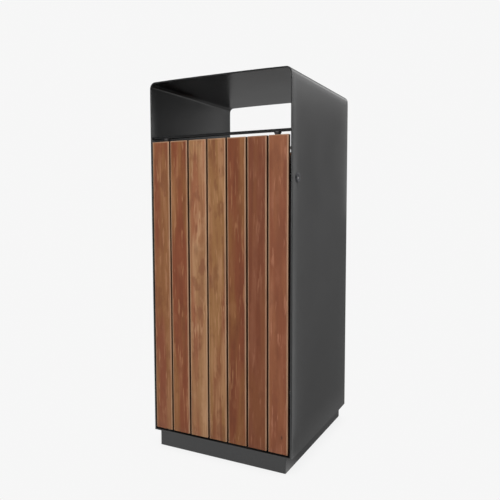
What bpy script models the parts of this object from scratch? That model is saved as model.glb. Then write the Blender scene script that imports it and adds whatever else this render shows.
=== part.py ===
"""Litter bin: a folded steel casing with a timber slatted door, a fixed slatted rear and a hung liner.

Units are metres, +Z is up and the door faces -Y. The origin is on the ground, under the middle.
"""
import math

import bmesh
import bpy
from mathutils import Vector

# ---------------------------------------------------------------- driving dimensions
HEIGHT = 1.100             # ground to the top of the casing
WIDTH = 0.460              # outside of the casing
DEPTH = 0.470              # front edge to rear edge of the casing
SHEET = 0.004              # casing sheet
FOLD_RADIUS = 0.018        # outside radius of the two top folds
PLINTH_HEIGHT = 0.046      # ground to the underside of the base plate
PLINTH_SIDE_RECESS = 0.020
PLINTH_END_RECESS = 0.005
PLINTH_SHEET = 0.004
BASE_THICKNESS = 0.004
GAP = 0.0003               # between pieces that touch

SLAT_COUNT = 7
SLAT_FIELD = 0.4396        # all the slats of one panel, edge to edge
SLAT_WIDTH = 0.0586
SLAT_THICKNESS = 0.015
SLAT_PROUD = 0.004         # slat face in front of the casing's edge
SLAT_BOTTOM = 0.058
SLAT_TOP = 0.9235
SLAT_ROUNDING = 0.003

UPRIGHT_X = 0.180          # the uprights' centre lines, and the hinge's axis
UPRIGHT_WIDTH = 0.040
UPRIGHT_THICKNESS = 0.010
RAIL_HEIGHT = 0.040
RAIL_THICKNESS = 0.005
RAIL_CENTRES = {"bottom": 0.110, "middle": 0.495, "top": 0.880}

BAR_BOTTOM = 0.934
BAR_TOP = 0.940
BAR_INSET = 0.0065         # bar face behind the casing's edge
BAR_DEPTH = 0.020

PIN_RADIUS = 0.004
BORE_RADIUS = 0.0043
BUSH_WIDE_RADIUS = 0.010
BUSH_NARROW_RADIUS = 0.007

LOCK_INSET = 0.0356        # lock axis behind the casing's edge
LOCK_HEIGHT = 0.811
LOCK_FLANGE_RADIUS = 0.0135
LOCK_BARREL_RADIUS = 0.0097
LOCK_BORE_RADIUS = 0.0066
CORE_RADIUS = 0.0063
CAM_REACH = 0.0225
CAM_HALF_WIDTH = 0.008

LINER_HALF_WIDTH = 0.180
LINER_HALF_DEPTH = 0.165
LINER_FLOOR = 0.200
LINER_TOP = 0.870
LINER_SHEET = 0.0015
LINER_CORNER = 0.020
RIM_HALF_WIDTH = 0.207
RIM_HALF_DEPTH = 0.169
RIM_THICKNESS = 0.003

HANDLE_ROD_RADIUS = 0.003
HANDLE_HALF_WIDTH = 0.050
HANDLE_DROP = 0.040
HANDLE_PIVOT_HEIGHT = 0.850
HANDLE_STANDOFF = 0.0065   # pivot axis in front of the liner's inner face

# ---------------------------------------------------------------- derived planes
FRONT = -DEPTH / 2
WALL_INSIDE = WIDTH / 2 - SHEET
BASE_TOP = PLINTH_HEIGHT + BASE_THICKNESS
SLAT_BACK = SLAT_THICKNESS - SLAT_PROUD
SLAT_PITCH = (SLAT_FIELD - SLAT_WIDTH) / (SLAT_COUNT - 1)
FRAME_FACE = SLAT_BACK + GAP
HINGE_INSET = FRAME_FACE + UPRIGHT_THICKNESS / 2
LINER_INSIDE = LINER_HALF_DEPTH - LINER_SHEET
RUNNER_TOP = LINER_TOP

# ---------------------------------------------------------------- start clean
for old in list(bpy.data.objects):
    bpy.data.objects.remove(old, do_unlink=True)

parts = bpy.data.collections.new("litter_bin")
cutters = bpy.data.collections.new("cutters")
bpy.context.scene.collection.children.link(parts)
bpy.context.scene.collection.children.link(cutters)


# ---------------------------------------------------------------- materials
def principled(name, colour, roughness, metallic):
    """One plain finish."""
    material = bpy.data.materials.new(name)
    material.use_nodes = True
    shader = material.node_tree.nodes["Principled BSDF"]
    shader.inputs["Base Color"].default_value = (*colour, 1.0)
    shader.inputs["Roughness"].default_value = roughness
    shader.inputs["Metallic"].default_value = metallic
    return material


COATED_STEEL = principled("coated_steel", (0.075, 0.077, 0.078), 0.38, 0.0)
TIMBER = principled("oiled_timber", (0.30, 0.115, 0.055), 0.55, 0.0)
GALVANISED = principled("galvanised_steel", (0.48, 0.50, 0.51), 0.45, 1.0)
STAINLESS = principled("stainless_steel", (0.62, 0.61, 0.60), 0.22, 1.0)
NYLON = principled("black_nylon", (0.03, 0.03, 0.032), 0.5, 0.0)


# ---------------------------------------------------------------- helpers
def axis_empty(name, location):
    """The axis that a moving body turns on or slides along."""
    empty = bpy.data.objects.new(name, None)
    empty.empty_display_size = 0.05
    empty.location = location
    parts.objects.link(empty)
    return empty


def place(obj, location, parent, collection=parts):
    """Put an object at a world location, under its body's axis."""
    obj.location = Vector(location)
    if parent is not None:
        obj.parent = parent
        obj.location -= parent.location
    collection.objects.link(obj)
    return obj


def from_bmesh(name, bm, material, location=(0.0, 0.0, 0.0), parent=None, smooth=False):
    """Turn a bmesh into a placed part."""
    mesh = bpy.data.meshes.new(name)
    bm.to_mesh(mesh)
    bm.free()
    if smooth:
        mesh.shade_smooth()
        mesh.set_sharp_from_angle(angle=math.radians(35))
    mesh.materials.append(material)
    return place(bpy.data.objects.new(name, mesh), location, parent)


def round_edges(obj, width, segments=2):
    """Round every sharp edge of a part."""
    bevel = obj.modifiers.new("rounding", "BEVEL")
    bevel.width = width
    bevel.segments = segments
    bevel.limit_method = "ANGLE"
    bevel.angle_limit = math.radians(50)
    return obj


def box(name, low, high, material, parent=None, rounding=0.0):
    """A bar, board or plate between two corners."""
    low = Vector(low)
    high = Vector(high)
    bm = bmesh.new()
    bmesh.ops.create_cube(bm, size=1.0)
    bmesh.ops.scale(bm, vec=high - low, verts=bm.verts)
    obj = from_bmesh(name, bm, material, (low + high) / 2, parent)
    if rounding:
        round_edges(obj, rounding)
    return obj


def extruded(name, outline, axis, start, end, material, parent=None):
    """A flat outline in the plane across an axis, drawn out along it from start to end."""
    bm = bmesh.new()
    centre = (start + end) / 2
    spread = {"X": lambda a, b: (start - centre, a, b),
              "Y": lambda a, b: (a, start - centre, b),
              "Z": lambda a, b: (a, b, start - centre)}[axis]
    face = bm.faces.new([bm.verts.new(spread(a, b)) for a, b in outline])
    grown = bmesh.ops.extrude_face_region(bm, geom=[face])
    along = Vector([float(axis == letter) for letter in "XYZ"])
    moved = [item for item in grown["geom"] if isinstance(item, bmesh.types.BMVert)]
    bmesh.ops.translate(bm, vec=along * (end - start), verts=moved)
    bmesh.ops.recalc_face_normals(bm, faces=bm.faces)
    return from_bmesh(name, bm, material, along * centre, parent)


def turned(name, profile, location, material, parent=None, along="Z", steps=32, closed=True):
    """A profile of (radius, height) points, turned about its own Z, which then points along an axis."""
    bm = bmesh.new()
    points = [bm.verts.new((radius, 0.0, height)) for radius, height in profile]
    for first, second in zip(points, points[1:]):
        bm.edges.new((first, second))
    if closed:
        bm.edges.new((points[-1], points[0]))
    obj = from_bmesh(name, bm, material, location, parent, smooth=True)
    screw = obj.modifiers.new("turning", "SCREW")
    screw.axis = "Z"
    screw.steps = steps
    screw.render_steps = steps
    screw.use_merge_vertices = True
    screw.merge_threshold = 0.00001
    if along == "X":
        obj.rotation_euler.y = math.radians(90)
    return obj


def rod(radius, length, location, along="Z", segments=32, name="cutter"):
    """A round cutter centred on a point."""
    bm = bmesh.new()
    bmesh.ops.create_cone(bm, cap_ends=True, segments=segments, radius1=radius, radius2=radius, depth=length)
    mesh = bpy.data.meshes.new(name)
    bm.to_mesh(mesh)
    bm.free()
    obj = place(bpy.data.objects.new(name, mesh), location, None, cutters)
    if along == "X":
        obj.rotation_euler.y = math.radians(90)
    return hide_cutter(obj)


def hide_cutter(obj):
    """Cutters are guides and never shown."""
    obj.hide_render = True
    obj.display_type = "WIRE"
    return obj


def cut(obj, cutter, operation="DIFFERENCE"):
    """Take a cutter out of a part, or join it on."""
    boolean = obj.modifiers.new(cutter.name, "BOOLEAN")
    boolean.operation = operation
    boolean.solver = "EXACT"
    boolean.object = cutter


def arc(centre_a, centre_b, radius, from_degrees, to_degrees, steps):
    """Points of an arc, ends included."""
    sweep = to_degrees - from_degrees
    angles = [math.radians(from_degrees + sweep * i / steps) for i in range(steps + 1)]
    return [(centre_a + radius * math.cos(t), centre_b + radius * math.sin(t)) for t in angles]


# ---------------------------------------------------------------- casing and base
def casing_shell():
    """Left wall, top and right wall: one sheet with two folds, open at the front and rear."""
    fold_x = WIDTH / 2 - FOLD_RADIUS
    fold_z = HEIGHT - FOLD_RADIUS
    outline = [(WIDTH / 2, PLINTH_HEIGHT)]
    outline += arc(fold_x, fold_z, FOLD_RADIUS, 0, 90, 8)
    outline += arc(-fold_x, fold_z, FOLD_RADIUS, 90, 180, 8)
    outline += [(-WIDTH / 2, PLINTH_HEIGHT)]
    bm = bmesh.new()
    points = [bm.verts.new((x, FRONT, z)) for x, z in outline]
    edges = [bm.edges.new(pair) for pair in zip(points, points[1:])]
    swept = bmesh.ops.extrude_edge_only(bm, edges=edges)
    moved = [item for item in swept["geom"] if isinstance(item, bmesh.types.BMVert)]
    bmesh.ops.translate(bm, vec=(0.0, DEPTH, 0.0), verts=moved)
    shell = from_bmesh("casing_shell", bm, COATED_STEEL, smooth=True)
    wall = shell.modifiers.new("sheet", "SOLIDIFY")
    wall.thickness = SHEET
    wall.offset = -1.0
    wall.use_even_offset = True
    round_edges(shell, 0.0006, 1)
    cut(shell, rod(LOCK_BARREL_RADIUS + GAP, 0.04, (WIDTH / 2, FRONT + LOCK_INSET, LOCK_HEIGHT),
                   "X", name="lock_hole"))
    return shell


def base():
    """The base plate with its drain holes, and the recessed plinth with its anchor flanges."""
    plate = box("base_plate", (-WALL_INSIDE + GAP, FRONT + 0.001, PLINTH_HEIGHT),
                (WALL_INSIDE - GAP, -FRONT - 0.001, BASE_TOP), COATED_STEEL, rounding=0.0006)
    for x in (-0.12, 0.12):
        for y in (-0.12, 0.12):
            cut(plate, rod(0.010, 0.02, (x, y, PLINTH_HEIGHT), name="drain_hole"))
    cut(plate, rod(0.006, 0.02, (-UPRIGHT_X, FRONT + HINGE_INSET, PLINTH_HEIGHT), name="hinge_hole"))

    top = PLINTH_HEIGHT - GAP
    side = WIDTH / 2 - PLINTH_SIDE_RECESS
    end = DEPTH / 2 - PLINTH_END_RECESS
    for name, y in (("plinth_front", -end), ("plinth_rear", end - PLINTH_SHEET)):
        box(name, (-side, y, 0.0), (side, y + PLINTH_SHEET, top), COATED_STEEL, rounding=0.0008)
    reach = end - PLINTH_SHEET - GAP
    flange_inside = 0.040
    for name, sign in (("left", -1), ("right", 1)):
        xs = sorted((sign * side, sign * (side - PLINTH_SHEET)))
        box("plinth_" + name, (xs[0], -reach, 0.0), (xs[1], reach, top), COATED_STEEL)
        outer = side - PLINTH_SHEET - GAP
        xs = sorted((sign * outer, sign * (outer - flange_inside)))
        flange = box("anchor_flange_" + name, (xs[0], -0.19, 0.0), (xs[1], 0.19, 0.005), COATED_STEEL)
        for y in (-0.15, 0.15):
            middle = sign * (outer - flange_inside / 2)
            cut(flange, rod(0.0065, 0.02, (middle, y, 0.0), name="anchor_hole_" + name))


def cross_bars():
    """A flat bar across the casing above each panel. The front one carries the hinge's upper bush."""
    inner = FRONT + BAR_INSET
    outer = WALL_INSIDE - GAP
    front = box("front_bar", (-outer, inner, BAR_BOTTOM), (outer, inner + BAR_DEPTH, BAR_TOP),
                COATED_STEEL, rounding=0.0008)
    box("rear_bar", (-outer, -inner - BAR_DEPTH, BAR_BOTTOM), (outer, -inner, BAR_TOP),
        COATED_STEEL, rounding=0.0008)
    for x in (-UPRIGHT_X, UPRIGHT_X):
        cut(front, rod(BORE_RADIUS, 0.02, (x, FRONT + HINGE_INSET, BAR_TOP), name="bar_hole"))


def bushes():
    """Tapered bushes under the front bar, at both ends so that a door can hang on either side."""
    length = BAR_BOTTOM - SLAT_TOP - 2 * GAP
    taper = [(BUSH_WIDE_RADIUS, length), (BUSH_NARROW_RADIUS, 0.0), (BORE_RADIUS, 0.0),
             (BORE_RADIUS, length)]
    for name, x in (("hinge_bush_top", -UPRIGHT_X), ("hinge_bush_spare", UPRIGHT_X)):
        turned(name, taper, (x, FRONT + HINGE_INSET, SLAT_TOP + GAP), NYLON)
    # The bottom bush drops into the base plate, and its collar carries the door's weight.
    collar = SLAT_BOTTOM - GAP
    spigot = 0.0057
    foot = PLINTH_HEIGHT + 0.001
    seat = BASE_TOP + GAP
    profile = [(BUSH_WIDE_RADIUS, collar), (BUSH_WIDE_RADIUS, seat), (spigot, seat), (spigot, foot),
               (BORE_RADIUS, foot), (BORE_RADIUS, collar)]
    turned("hinge_bush_bottom", profile, (-UPRIGHT_X, FRONT + HINGE_INSET, 0.0), NYLON)


# ---------------------------------------------------------------- slatted panels
def slatted_panel(prefix, side, parent=None):
    """Seven upright boards on two flat uprights and three rails. side is -1 at the front, 1 behind."""
    def span(first, second):
        """World Y limits of two distances behind the casing's edge on this side."""
        return sorted((side * (DEPTH / 2 - first), side * (DEPTH / 2 - second)))

    slat_y = span(-SLAT_PROUD, SLAT_BACK)
    for index in range(SLAT_COUNT):
        left = -SLAT_FIELD / 2 + index * SLAT_PITCH
        box(f"{prefix}_slat_{index + 1}", (left, slat_y[0], SLAT_BOTTOM),
            (left + SLAT_WIDTH, slat_y[1], SLAT_TOP), TIMBER, parent, SLAT_ROUNDING)
    upright_y = span(FRAME_FACE, FRAME_FACE + UPRIGHT_THICKNESS)
    half = UPRIGHT_WIDTH / 2
    for name, x in (("left", -UPRIGHT_X), ("right", UPRIGHT_X)):
        box(f"{prefix}_upright_{name}", (x - half, upright_y[0], SLAT_BOTTOM),
            (x + half, upright_y[1], SLAT_TOP), COATED_STEEL, parent, 0.0008)
    rail_y = span(FRAME_FACE, FRAME_FACE + RAIL_THICKNESS)
    reach = UPRIGHT_X - half - GAP
    for name, z in RAIL_CENTRES.items():
        box(f"{prefix}_rail_{name}", (-reach, rail_y[0], z - RAIL_HEIGHT / 2),
            (reach, rail_y[1], z + RAIL_HEIGHT / 2), COATED_STEEL, parent, 0.0008)


def rear_spacers():
    """Sleeves that hold the fixed rear panel off its bar, where its bolts pass."""
    length = BAR_BOTTOM - SLAT_TOP - 2 * GAP
    ring = [(BUSH_NARROW_RADIUS, length), (BUSH_NARROW_RADIUS, 0.0), (BORE_RADIUS, 0.0),
            (BORE_RADIUS, length)]
    for name, x in (("rear_spacer_left", -UPRIGHT_X), ("rear_spacer_right", UPRIGHT_X)):
        turned(name, ring, (x, -FRONT - HINGE_INSET, SLAT_TOP + GAP), COATED_STEEL)


def door(axis):
    """The front panel, its two hinge pins and the keeper that the lock's cam catches."""
    slatted_panel("door", -1, axis)
    hinge_y = FRONT + HINGE_INSET
    for name, low, high in (("hinge_pin_top", SLAT_TOP + GAP, BAR_TOP - 0.0005),
                            ("hinge_pin_bottom", PLINTH_HEIGHT + 0.0015, SLAT_BOTTOM - GAP)):
        pin = [(0.0, high), (PIN_RADIUS - 0.0005, high), (PIN_RADIUS, high - 0.0005),
               (PIN_RADIUS, low), (0.0, low)]
        turned(name, pin, (-UPRIGHT_X, hinge_y, 0.0), STAINLESS, axis, closed=False)
    root = FRONT + FRAME_FACE + UPRIGHT_THICKNESS + GAP
    back = FRONT + 0.050
    plate = 0.004
    leg = 0.185
    tip = 0.212
    outline = [(leg, root), (leg + plate, root), (leg + plate, back - plate), (tip, back - plate),
               (tip, back), (leg, back)]
    extruded("lock_keeper", outline, "Z", 0.824, 0.850, COATED_STEEL, axis)


def door_stops():
    """Two bright lugs on the right wall that the shut door rests against."""
    lug = 0.010
    for name, z in (("door_stop_upper", 0.8855), ("door_stop_lower", 0.2250)):
        box(name, (WALL_INSIDE - GAP - lug, FRONT + FRAME_FACE, z),
            (WALL_INSIDE - GAP, FRONT + FRAME_FACE + lug, z + 0.0075), STAINLESS, rounding=0.0008)


# ---------------------------------------------------------------- lock
def lock(axis):
    """A triangular-key lock: fixed barrel and nut in the right wall, core and cam that turn."""
    y = FRONT + LOCK_INSET
    wall = WIDTH / 2
    inner_end = 0.2065
    flange = [(LOCK_BORE_RADIUS, 0.0028), (0.0098, 0.0028), (0.0126, 0.0020), (LOCK_FLANGE_RADIUS, 0.0009),
              (LOCK_FLANGE_RADIUS, GAP), (LOCK_BARREL_RADIUS, GAP), (LOCK_BARREL_RADIUS, inner_end - wall),
              (LOCK_BORE_RADIUS, inner_end - wall)]
    turned("lock_body", flange, (wall, y, LOCK_HEIGHT), STAINLESS, along="X", steps=40)
    nut_face = WALL_INSIDE - GAP
    nut_thickness = 0.0055
    hexagon = arc(y, LOCK_HEIGHT, 0.0156, 30, 330, 5)
    nut = extruded("lock_nut", hexagon, "X", nut_face - nut_thickness, nut_face, STAINLESS)
    cut(nut, rod(LOCK_BARREL_RADIUS + GAP, 0.03, (nut_face, y, LOCK_HEIGHT), "X", name="nut_bore"))

    stem = 0.004
    cam_plate = 0.003
    cam_face = inner_end - GAP
    core_head = 0.0005
    core = [(0.0, core_head), (CORE_RADIUS, core_head),
            (CORE_RADIUS, cam_face - wall), (stem, cam_face - wall),
            (stem, cam_face - cam_plate - GAP - wall), (0.0, cam_face - cam_plate - GAP - wall)]
    drive = extruded("triangular_drive", arc(y, LOCK_HEIGHT, 0.0046, 90, 330, 2), "X",
                     wall - 0.003, wall + 0.0024, STAINLESS)
    parts.objects.unlink(drive)
    cutters.objects.link(drive)
    hide_cutter(drive)
    core_object = turned("lock_core", core, (wall, y, LOCK_HEIGHT), STAINLESS, axis, "X", 40, closed=False)
    cut(core_object, drive, "UNION")

    # At rest the cam points at the front, clear of the keeper, so the door is shut but not locked.
    tip = y - CAM_REACH + CAM_HALF_WIDTH
    outline = arc(y, LOCK_HEIGHT, CAM_HALF_WIDTH, -90, 90, 8)
    outline += arc(tip, LOCK_HEIGHT, CAM_HALF_WIDTH, 90, 270, 8)
    cam = extruded("lock_cam", outline, "X", cam_face - cam_plate, cam_face, STAINLESS, axis)
    cut(cam, rod(stem + GAP, 0.02, (cam_face, y, LOCK_HEIGHT), "X", name="cam_bore"))
    head = cam_face - cam_plate - 2 * GAP
    screw = [(0.0, head), (0.0062, head), (0.0062, head - 0.0022), (0.0052, head - 0.0035),
             (0.0, head - 0.0035)]
    turned("cam_screw", screw, (0.0, y, LOCK_HEIGHT), STAINLESS, axis, "X", closed=False)


# ---------------------------------------------------------------- liner
def rounded_prism(half_x, half_y, low, high, corner, segments=4):
    """A closed upright block with rounded corners, as a bmesh in world place."""
    bm = bmesh.new()
    bmesh.ops.create_cube(bm, size=1.0)
    bmesh.ops.scale(bm, vec=(2 * half_x, 2 * half_y, high - low), verts=bm.verts)
    bmesh.ops.translate(bm, vec=(0.0, 0.0, (low + high) / 2), verts=bm.verts)
    upright = [edge for edge in bm.edges if abs(edge.verts[0].co.z - edge.verts[1].co.z) > 0.0001]
    bmesh.ops.bevel(bm, geom=upright, offset=corner, affect="EDGES", segments=segments, profile=0.5,
                    material=-1)
    return bm


def liner(axis):
    """The galvanised bucket with its drain holes, and the flat rim that it hangs by."""
    bm = rounded_prism(LINER_HALF_WIDTH, LINER_HALF_DEPTH, LINER_FLOOR, LINER_TOP, LINER_CORNER)
    mouth = [face for face in bm.faces if face.normal.z > 0.9]
    bmesh.ops.delete(bm, geom=mouth, context="FACES_ONLY")
    bucket = from_bmesh("liner_bucket", bm, GALVANISED, (0.0, 0.0, 0.0), None, smooth=True)
    bucket.parent = axis
    bucket.location = -axis.location
    wall = bucket.modifiers.new("sheet", "SOLIDIFY")
    wall.thickness = LINER_SHEET
    wall.offset = -1.0
    wall.use_even_offset = True
    for x in (-0.10, 0.10):
        for y in (-0.09, 0.09):
            cut(bucket, rod(0.005, 0.02, (x, y, LINER_FLOOR), segments=16, name="liner_drain"))

    low = RUNNER_TOP + GAP
    rim = box("liner_rim", (-RIM_HALF_WIDTH, -RIM_HALF_DEPTH, low),
              (RIM_HALF_WIDTH, RIM_HALF_DEPTH, low + RIM_THICKNESS), GALVANISED, axis)
    bm = rounded_prism(LINER_HALF_WIDTH - LINER_SHEET, LINER_INSIDE, low - 0.01, low + 0.01,
                       LINER_CORNER - LINER_SHEET)
    mesh = bpy.data.meshes.new("liner_mouth")
    bm.to_mesh(mesh)
    bm.free()
    mouth_cutter = place(bpy.data.objects.new("liner_mouth", mesh), (0.0, 0.0, 0.0), None, cutters)
    cut(rim, hide_cutter(mouth_cutter))


def liner_runners():
    """Steel angles on the side walls that the liner's rim rests on."""
    leg = 0.025
    plate = 0.003
    for name, sign in (("liner_runner_left", -1), ("liner_runner_right", 1)):
        wall = WALL_INSIDE - GAP
        top = RUNNER_TOP
        outline = [(sign * x, z) for x, z in ((wall, top), (wall - leg, top), (wall - leg, top - plate),
                                             (wall - plate, top - plate), (wall - plate, top - leg),
                                             (wall, top - leg))]
        extruded(name, outline, "Y", -0.163, 0.163, COATED_STEEL)


def liner_handle(name, side, liner_axis, handle_axis):
    """A drop handle inside the mouth: a folded bracket on the wall and a bent rod that turns in it."""
    wall = side * (LINER_INSIDE - GAP)
    back = 0.002
    ear = 0.003
    reach = 0.0125
    outer = 0.0580
    inward = -side
    outline = [(-outer, wall), (outer, wall), (outer, wall + inward * reach),
               (outer - ear, wall + inward * reach), (outer - ear, wall + inward * back),
               (-outer + ear, wall + inward * back), (-outer + ear, wall + inward * reach),
               (-outer, wall + inward * reach)]
    pivot_y = handle_axis.location.y
    height = HANDLE_PIVOT_HEIGHT
    bracket = extruded(f"handle_bracket_{name}", outline, "Z", height - 0.010, height + 0.010,
                       GALVANISED, liner_axis)
    cut(bracket, rod(HANDLE_ROD_RADIUS + GAP, 0.2, (0.0, pivot_y, height), "X", 24, f"handle_bore_{name}"))

    bend = 0.010
    half = HANDLE_HALF_WIDTH
    path = [(-0.062, 0.0)]
    path += arc(-half - 0.005, -0.005, 0.005, 90, 0, 4)
    path += arc(-half + bend, -HANDLE_DROP + bend, bend, 180, 270, 5)
    path += [(-x, z) for x, z in reversed(path)]
    curve = bpy.data.curves.new(f"liner_handle_{name}", "CURVE")
    curve.dimensions = "3D"
    curve.bevel_depth = HANDLE_ROD_RADIUS
    curve.bevel_resolution = 3
    curve.use_fill_caps = True
    spline = curve.splines.new("POLY")
    spline.points.add(len(path) - 1)
    for point, (x, z) in zip(spline.points, path):
        point.co = (x, 0.0, z, 1.0)
    curve.materials.append(STAINLESS)
    place(bpy.data.objects.new(f"liner_handle_{name}", curve), handle_axis.location, handle_axis)


# ---------------------------------------------------------------- assembly
casing_shell()
base()
cross_bars()
bushes()
slatted_panel("rear", 1)
rear_spacers()
door_stops()
liner_runners()
door(axis_empty("door_axis", (-UPRIGHT_X, FRONT + HINGE_INSET, BASE_TOP)))
lock(axis_empty("lock_axis", (WIDTH / 2, FRONT + LOCK_INSET, LOCK_HEIGHT)))
liner_origin = axis_empty("liner_axis", (0.0, 0.0, LINER_TOP))
liner(liner_origin)
for label, facing in (("front", -1), ("rear", 1)):
    pivot = (0.0, facing * (LINER_INSIDE - HANDLE_STANDOFF), HANDLE_PIVOT_HEIGHT)
    liner_handle(label, facing, liner_origin, axis_empty(f"handle_axis_{label}", pivot))
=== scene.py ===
"""Looks for a street litter bin: coated-steel casing, timber boards, chrome lock, galvanised liner."""
import math

import bmesh
import bpy
from mathutils import Matrix, Vector


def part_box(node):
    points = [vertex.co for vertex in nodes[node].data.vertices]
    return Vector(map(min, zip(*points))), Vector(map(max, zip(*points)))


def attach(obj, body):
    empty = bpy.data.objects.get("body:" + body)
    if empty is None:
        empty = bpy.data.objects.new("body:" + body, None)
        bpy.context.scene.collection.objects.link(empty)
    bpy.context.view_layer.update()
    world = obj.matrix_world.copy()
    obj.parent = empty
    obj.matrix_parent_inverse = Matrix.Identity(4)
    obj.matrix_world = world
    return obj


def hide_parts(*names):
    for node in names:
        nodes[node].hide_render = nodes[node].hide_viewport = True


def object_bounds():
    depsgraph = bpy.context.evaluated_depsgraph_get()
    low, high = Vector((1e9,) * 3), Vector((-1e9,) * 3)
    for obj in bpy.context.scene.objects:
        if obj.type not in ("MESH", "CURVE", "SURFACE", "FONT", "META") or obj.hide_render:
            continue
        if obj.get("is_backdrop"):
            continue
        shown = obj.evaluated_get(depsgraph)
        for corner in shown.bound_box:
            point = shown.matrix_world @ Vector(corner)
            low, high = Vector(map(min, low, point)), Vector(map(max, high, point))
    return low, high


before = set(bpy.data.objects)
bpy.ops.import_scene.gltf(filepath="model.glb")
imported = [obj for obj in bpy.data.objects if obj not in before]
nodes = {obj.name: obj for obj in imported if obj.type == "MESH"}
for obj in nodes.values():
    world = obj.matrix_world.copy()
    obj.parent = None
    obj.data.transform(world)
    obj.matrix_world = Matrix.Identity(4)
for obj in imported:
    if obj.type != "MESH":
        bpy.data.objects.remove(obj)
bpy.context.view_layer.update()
casing_low, casing_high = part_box("casing_shell")


# Viewpoint. A tripod camera at hip height, in front and to the right of the bin, turned 27
# degrees left and 4 down. Its place is worked out from the bin's height and front edge.
bin_height = casing_high.z
camera_data = bpy.data.cameras.new("viewpoint")
camera_data.sensor_width = 36.0
camera_data.lens = 39.04
camera_data.shift_x = -0.0205
camera_data.shift_y = -0.0097
camera = bpy.data.objects.new("viewpoint", camera_data)
camera.location = (0.72155 * bin_height, casing_low.y - 1.19384 * bin_height, 0.67300 * bin_height)
camera.rotation_euler = (math.radians(90 - 4.301), math.radians(0.045), math.radians(26.616))
bpy.context.scene.collection.objects.link(camera)
bpy.context.scene.camera = camera
bpy.context.scene.view_settings.view_transform = "Standard"


# Studio. A seamless pale floor and backdrop with four soft boxes: above, in front, right and behind.
# What a glossy coat mirrors is brighter high up and in two upright strips on the right, with a dark
# card past them. The floor it mirrors is brightest by the bin's front right corner.
def node(tree, kind, inputs=None, **settings):
    """Add a shader node. An input is a plain value, or a socket to link from."""
    made = tree.nodes.new("ShaderNode" + kind)
    for key, value in settings.items():
        setattr(made, key, value)
    for key, value in (inputs or {}).items():
        if isinstance(value, bpy.types.NodeSocket):
            tree.links.new(value, made.inputs[key])
        else:
            made.inputs[key].default_value = value
    return made


def maths(tree, operation, first, second=0.0):
    """One Math node's result."""
    return node(tree, "Math", {0: first, 1: second}, operation=operation).outputs[0]


def flat_length(tree, first, second):
    """How far a pair of values is from zero."""
    squares = maths(tree, "MULTIPLY", first, first), maths(tree, "MULTIPLY", second, second)
    return maths(tree, "SQRT", maths(tree, "ADD", *squares))


def mapped(tree, value, low, high, to_low=0.0, to_high=1.0):
    """A value eased from one span to another, and held at both ends."""
    spans = {"Value": value, "From Min": low, "From Max": high, "To Min": to_low, "To Max": to_high}
    return node(tree, "MapRange", spans, interpolation_type="SMOOTHSTEP").outputs["Result"]


BACKDROP = 0.925
world = bpy.data.worlds.new("studio")
world.use_nodes = True
bpy.context.scene.world = world
tree = world.node_tree
tree.nodes.clear()
direction = node(tree, "TexCoord").outputs["Generated"]
looking = node(tree, "SeparateXYZ", {0: direction}).outputs
level = node(tree, "CombineXYZ", {0: looking["X"], 1: looking["Y"], 2: 0.0}).outputs[0]
level = node(tree, "VectorMath", {0: level}, operation="NORMALIZE").outputs[0]
to_right = node(tree, "SeparateXYZ", {0: level}).outputs["X"]
low_strip = mapped(tree, to_right, 0.14, 0.31, 1.15, 0.08)
low_strip = maths(tree, "MULTIPLY", low_strip, mapped(tree, to_right, -0.05, 0.14, 0.20, 1.0))
low_strip = maths(tree, "ADD", low_strip, mapped(tree, to_right, 0.40, 0.45, 0.0, 1.80))
glow = mapped(tree, looking["Z"], 0.16, 0.36, 0.0, 0.95)
glow = maths(tree, "MULTIPLY", glow, mapped(tree, to_right, -0.05, 0.25, 0.08, 1.0))
glow = maths(tree, "ADD", glow, low_strip)
flag = mapped(tree, to_right, 0.46, 0.55, 1.0, 0.08)
behind = mapped(tree, looking["Y"], -0.40, 0.10, 0.16, 1.0)
glow = maths(tree, "MULTIPLY", glow, maths(tree, "MULTIPLY", flag, behind))
ambient = node(tree, "Background", {"Color": (1.0, 1.0, 1.0, 1.0), "Strength": 0.05})
surround = node(tree, "Background", {"Color": (1.0, 1.0, 1.0, 1.0), "Strength": glow})
seen = node(tree, "Background", {"Color": (1.0, 1.0, 1.0, 1.0), "Strength": BACKDROP})
path = node(tree, "LightPath").outputs
unseen = node(tree, "MixShader", {0: path["Is Diffuse Ray"], 1: surround.outputs[0], 2: ambient.outputs[0]})
both = node(tree, "MixShader", {0: path["Is Camera Ray"], 1: unseen.outputs[0], 2: seen.outputs[0]})
node(tree, "OutputWorld", {0: both.outputs[0]})

bm = bmesh.new()
bmesh.ops.create_grid(bm, x_segments=1, y_segments=1, size=40.0)
floor_mesh = bpy.data.meshes.new("studio_floor")
bm.to_mesh(floor_mesh)
bm.free()
floor = bpy.data.objects.new("studio_floor", floor_mesh)
bpy.context.scene.collection.objects.link(floor)
paper = bpy.data.materials.new("studio_paper")
paper.use_nodes = True
tree = paper.node_tree
tree.nodes.clear()
# For the camera the floor glows evenly, with a painted contact shadow: ambient occlusion dims the glow
# close to the bin.
contact_shadow = node(tree, "AmbientOcclusion", {"Distance": 0.07}, samples=12).outputs["AO"]
shade = mapped(tree, contact_shadow, 0.0, 0.85, 0.90 * BACKDROP, BACKDROP)
lit = node(tree, "Emission", {"Color": (1.0, 1.0, 1.0, 1.0), "Strength": shade})
bounce = node(tree, "BsdfDiffuse", {"Color": (0.66, 0.66, 0.66, 1.0)})
corner = (casing_high.x, casing_low.y, 0.0)
place = node(tree, "TexCoord").outputs["Object"]
place = node(tree, "VectorMath", {0: place, 1: corner}, operation="SUBTRACT").outputs[0]
place = node(tree, "SeparateXYZ", {0: place}).outputs
sheen = mapped(tree, place["Y"], -0.03, 0.13, 1.15, 0.28)
to_right = maths(tree, "DIVIDE", place["X"], flat_length(tree, place["X"], place["Y"]))
sheen = maths(tree, "MULTIPLY", sheen, mapped(tree, to_right, 0.56, 0.68, 1.0, 0.10))
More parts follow.
